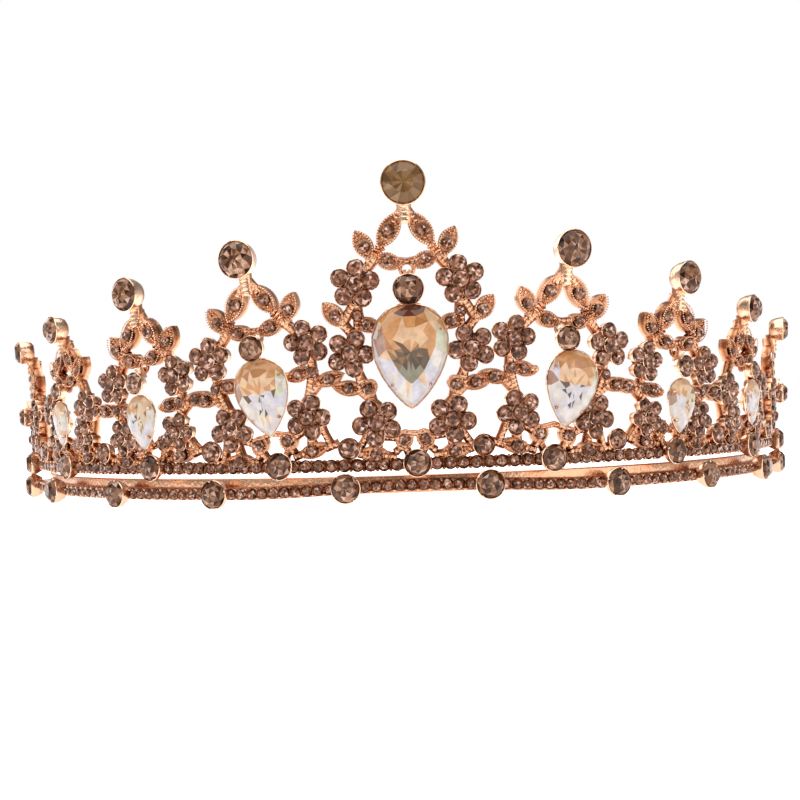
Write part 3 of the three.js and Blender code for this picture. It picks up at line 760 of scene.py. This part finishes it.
def pear_colour_and_reflection(u, v, crown_facet, warm, chance):
    """A facet's colour with painted reflections and shade, from its place: u across and v up, each from -1
    to 1.
    """
    # Crown facets carry painted reflections: rose and lilac on the left, mist and milk on the right and
    # below.
    if crown_facet:
        if warm == 2 and v > 0.7 and abs(u) < 0.3:
            return CHESTNUT
        if v > 0.55:
            return AMBER if warm and chance < 0.7 else PEACH
        if v > 0.05 and u < 0:
            return ROSE if chance < 0.6 else LILAC
        if v > -0.1 and u > 0:
            return MIST if chance < 0.6 else MILK
        return LILAC if chance < 0.45 else MILK if chance < 0.9 else PEACH
    # The warmest pear has a painted dark pool of shade below its amber, in olive, teak and bronze.
    if warm == 2:
        if v > 0.6 or (abs(u) > 0.36 and v > 0.02):
            return AMBER if chance < 0.7 else RUST
        if v > (0.24 if abs(u) > 0.14 else 0.1):
            return PEACH if chance < 0.65 else AMBER
        if v > -0.2:
            return OLIVE if chance < 0.4 else TEAK if chance < 0.75 else BRONZE
        return SAGE
    if warm == 0 and u > 0 and v > -0.35:
        return PEACH if chance < 0.5 else BRONZE if chance < 0.68 else MIST
    if v > 0.6:
        return RUST if warm else PEACH
    if v > (0.12 if warm else 0.35):
        return AMBER if chance < 0.5 else PEACH
    if chance < 0.1 or (warm and u < -0.25 and v > -0.15 and chance < 0.5):
        return TEAK
    return MILK if chance < 0.5 else LILAC


polish = {"IOR": 1.4, "Coat_Weight": 0.3, "Coat_Roughness": 0.02, "Coat_IOR": 1.6}
champagne, wire, shader = new_material("champagne_glass", **polish)
place = wire.make("ShaderNodeTexCoord", output=3)
facet = wire.make("ShaderNodeAttribute", {"attribute_name": "tint"})
cloud = wire.make("ShaderNodeTexNoise", Vector=place, Scale=700.0, Detail=2.0)
overlay = {"data_type": "RGBA", "blend_type": "OVERLAY"}
veil = wire.make("ShaderNodeMix", overlay, output=2, i0=0.45, i6=facet, i7=cloud)
veil.into(shader, "Base Color")
(0.03 + cloud * 0.06).into(shader, "Roughness")

# The big pears hang a little to one side and askew, as they were glued. They are also the warm ones.
PEAR_HANG = {"centre": (-0.15, -1), "right_1": (1.4, -7), "left_1": (0.4, 2)}
WARMTH = {"centre": 2, "1": 1}
for number, name in enumerate(PEAK_NAMES):
    kind = name.split("_")[-1]
    size = PEAKS[kind]["pear"]
    if not size:
        continue
    width, height = size
    pear_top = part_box(f"{name}_pear_stone")[1]
    peak = Peak(name, 0)
    middle = pear_top[2] / MM + floor_drop + FLARE_DROP - height / 2
    shift, lean = PEAR_HANG.get(name, (0, 0))
    seat = peak.place(shift, middle, PEAR_OUT, lean)
    stone = pear_shape(pear_round, width, height)
    tint = stone.faces.layers.float_color.new("tint")
    for i, face in enumerate(stone.faces):
        at = face.calc_center_median()
        crown_facet = at.z < width * PEAR_DEPTH * TABLE_LEVEL
        u, v = at.x / width * 2, at.y / height * 2
        face[tint] = (*pear_colour_and_reflection(u, v, crown_facet, WARMTH.get(kind, 0), glint(i, 60 + number)), 1)
    bmesh.ops.transform(stone, matrix=seat, verts=stone.verts)
    finish_piece(f"{name}_pear_cut", stone, champagne, "champagne_glass", f"{name}_pear_stone", smooth=0)
    bezel = pear_shape(pear_bezel, width, height)
    bmesh.ops.transform(bezel, matrix=seat, verts=bezel.verts)
    for side in (-1, 1):
        for u, v in ((0.80, 0.5), (0.50, -0.55)):
            prong = seat @ Matrix.Translation((side * u * width / 2, v * height / 2, width * 0.08))
            stamp(bezel, claw, prong @ Matrix.Diagonal((0.38, 0.38, 0.9, 1)))
    finish_piece(f"{name}_pear_bezel", bezel, rose_gold, "rose_gold")

# ---- End loops -------------------------------------------------------------------------------
# A round wire eye soldered to each end of the band, for a hairpin to hold the tiara by.
LOOP_RADIUS = 2.15
for node in ("left_end_loop", "right_end_loop"):
    low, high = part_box(node)
    middle_x, middle_y, middle_z = [(a + b) / 2 / MM for a, b in zip(low, high)]
    out = math.hypot(middle_x, plan_y - middle_y) - wall_radius
    loop = bmesh.new()
    place = wall_place(side_angle(node), middle_z + floor_drop, out)
    stamp(loop, ring, sized(place, LOOP_RADIUS))
    finish_piece(f"{node}_wire", loop, rose_gold, "rose_gold", node)

# ---- Floor, light and camera -----------------------------------------------------------------
# A pale seamless floor, a bright even surround, and soft lamps in front and to the sides.
floor = bmesh.new()
bmesh.ops.create_grid(floor, x_segments=1, y_segments=1, size=6)
floor_mesh = bpy.data.meshes.new("floor")
floor.to_mesh(floor_mesh)
floor.free()
floor_white, wire, shader = new_material("floor_white", Roughness=0.9)
shader.inputs["Base Color"].default_value = (0.93, 0.93, 0.93, 1)
shader.inputs["Emission Color"].default_value = (1, 1, 1, 1)
shader.inputs["Emission Strength"].default_value = 0.8
floor_mesh.materials.append(floor_white)
floor_piece = bpy.data.objects.new("floor", floor_mesh)
bpy.context.scene.collection.objects.link(floor_piece)

world = bpy.data.worlds.new("surround")
world.use_nodes = True
bpy.context.scene.world = world
backdrop = world.node_tree.nodes["Background"]
backdrop.inputs["Color"].default_value = (1, 1, 1, 1)
wire = Wire(world.node_tree)
heading = wire.make("ShaderNodeTexCoord", output=0)
up = wire.make("ShaderNodeSeparateXYZ", output=2, Vector=heading)
back = wire.make("ShaderNodeSeparateXYZ", output=1, Vector=heading)
room = wire.make("ShaderNodeValToRGB", {"stops": [
    (0.0, (0.80, 0.79, 0.78)), (0.25, (0.55, 0.54, 0.53)), (0.5, (0.22, 0.21, 0.21)),
    (0.9, (0.35, 0.35, 0.36)),
]}, Fac=up)
lit = wire.make("ShaderNodeBackground", Color=room, Strength=0.75 + back * 0.45)
seen = wire.make("ShaderNodeLightPath", output=0)
mixed = wire.make("ShaderNodeMixShader", i0=seen, i1=lit, i2=Wire(world.node_tree, backdrop.outputs[0]))
world.node_tree.links.new(mixed.socket, world.node_tree.nodes["World Output"].inputs["Surface"])

TIARA_MIDDLE = Vector((0, 0, 0.025))
for name, spot, size, power in (
    ("key", (-0.45, -0.55, 0.55), 0.65, 2.7),
    ("fill", (0.6, -0.45, 0.25), 0.6, 1.6),
    ("top", (0.0, 0.0, 0.75), 0.9, 4.8),
    ("rim", (-0.3, 0.5, 0.35), 0.5, 1.4),
):
    lamp = bpy.data.lights.new(name, "AREA")
    lamp.size = size
    lamp.energy = power
    light = bpy.data.objects.new(name, lamp)
    light.location = spot
    light.rotation_euler = (TIARA_MIDDLE - Vector(spot)).to_track_quat("-Z", "Y").to_euler()
    bpy.context.scene.collection.objects.link(light)

camera_data = bpy.data.cameras.new("camera")
camera_data.lens = 62.05
camera_data.clip_start = 0.01
camera = bpy.data.objects.new("camera", camera_data)
EYE = Vector((-0.0083, -0.2714, 0.0176))
TURN, TILT, ROLL = math.radians(-1.366), math.radians(0.125), math.radians(-1.818)
unrolled = Matrix.Rotation(TURN, 4, "Z") @ Matrix.Rotation(math.pi / 2 + TILT, 4, "X")
aim = unrolled @ Matrix.Rotation(ROLL, 4, "Z")
camera.matrix_world = Matrix.Translation(EYE) @ aim
bpy.context.scene.collection.objects.link(camera)
bpy.context.scene.camera = camera
bpy.context.scene.view_settings.view_transform = "Standard"
